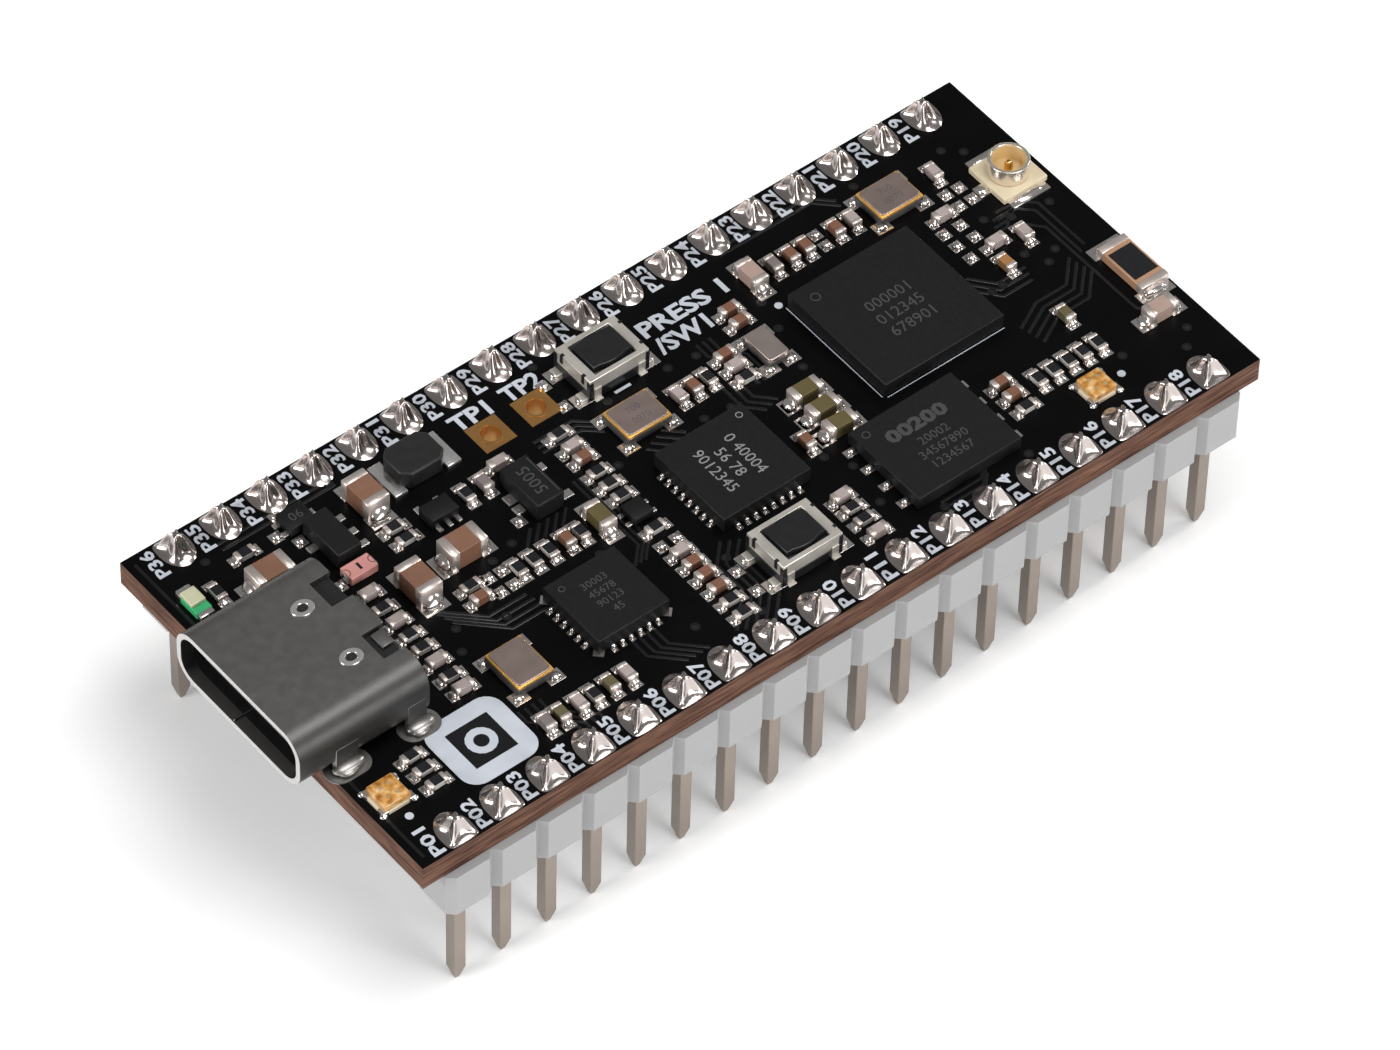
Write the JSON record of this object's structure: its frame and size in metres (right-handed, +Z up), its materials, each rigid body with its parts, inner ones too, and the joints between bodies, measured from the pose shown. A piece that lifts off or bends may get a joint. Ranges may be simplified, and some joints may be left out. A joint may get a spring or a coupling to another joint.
{
  "type": "microcontroller dev board",
  "caption": "Breadboard-style microcontroller board with header pins on both long edges, a USB-C socket, two press switches, radio chip and antenna socket.",
  "frame": {"origin": "centre of the board's underside, midway between the two header rows and between the end pins", "axes": "+X along the board from the USB end to the antenna end, +Y to the row beside the boot switch, +Z up out of the component side"},
  "size_m": [0.0497, 0.0228, 0.0134],
  "materials": {
    "board_mask": "satin black solder mask over glass-fibre laminate",
    "header_plastic": "satin off-white moulding",
    "pin_metal": "drawn and plated, warm nickel",
    "socket_steel": "satin nickel-plated steel",
    "black_plastic": "satin black moulding",
    "chip_mould": "fine-grained epoxy",
    "switch_frame": "plated sheet",
    "crystal_lid": "satin lid with a gold seam",
    "cream_plastic": "satin",
    "contact_gold": "gold flash",
    "solder_silver": "bright tin",
    "ferrite": "pressed ferrite",
    "ceramic": "fired ceramic",
    "silk_ink": "printed ink",
    "laminate_edge": "routed glass-fibre edge"
  },
  "bodies": {
    "board": {"circuit_board": "board_mask", "header_strip_left": "header_plastic", "header_strip_right": "header_plastic", "usb_shell": "socket_steel", "usb_tongue": "black_plastic", "boot_switch_case": "switch_frame", "reset_switch_case": "switch_frame", "radio_chip": "chip_mould", "interface_chip": "chip_mould", "hub_chip": "chip_mould", "flash_chip": "chip_mould", "radio_crystal": "crystal_lid", "interface_crystal": "crystal_lid", "hub_crystal": "crystal_lid", "clock_crystal": "crystal_lid", "chip_antenna": "ceramic", "diode_package": "chip_mould", "regulator_package": "chip_mould", "power_inductor": "ferrite", "antenna_socket_base": "cream_plastic", "antenna_socket_ring": "solder_silver", "antenna_socket_pin": "contact_gold", "pin_left_01": "pin_metal", "pin_left_02": "pin_metal", "pin_left_03": "pin_metal", "pin_left_04": "pin_metal", "pin_left_05": "pin_metal", "pin_left_06": "pin_metal", "pin_left_07": "pin_metal", "pin_left_08": "pin_metal", "pin_left_09": "pin_metal", "pin_left_10": "pin_metal", "pin_left_11": "pin_metal", "pin_left_12": "pin_metal", "pin_left_13": "pin_metal", "pin_left_14": "pin_metal", "pin_left_15": "pin_metal", "pin_left_16": "pin_metal", "pin_left_17": "pin_metal", "pin_left_18": "pin_metal", "pin_right_01": "pin_metal", "pin_right_02": "pin_metal", "pin_right_03": "pin_metal", "pin_right_04": "pin_metal", "pin_right_05": "pin_metal", "pin_right_06": "pin_metal", "pin_right_07": "pin_metal", "pin_right_08": "pin_metal", "pin_right_09": "pin_metal", "pin_right_10": "pin_metal", "pin_right_11": "pin_metal", "pin_right_12": "pin_metal", "pin_right_13": "pin_metal", "pin_right_14": "pin_metal", "pin_right_15": "pin_metal", "pin_right_16": "pin_metal", "pin_right_17": "pin_metal", "pin_right_18": "pin_metal"},
    "boot_button": {"boot_switch_button": "black_plastic"},
    "reset_button": {"reset_switch_button": "black_plastic"}
  },
  "joints": [
    {"name": "boot_press", "type": "slide", "parent": "board", "child": "boot_button", "axis": [0, 0, -1], "range_m": [0, 0.00025], "stiffness_N_per_m": 800, "springref_m": -0.00005},
    {"name": "reset_press", "type": "slide", "parent": "board", "child": "reset_button", "axis": [0, 0, -1], "range_m": [0, 0.00025], "stiffness_N_per_m": 800, "springref_m": -0.00005}
  ]
}
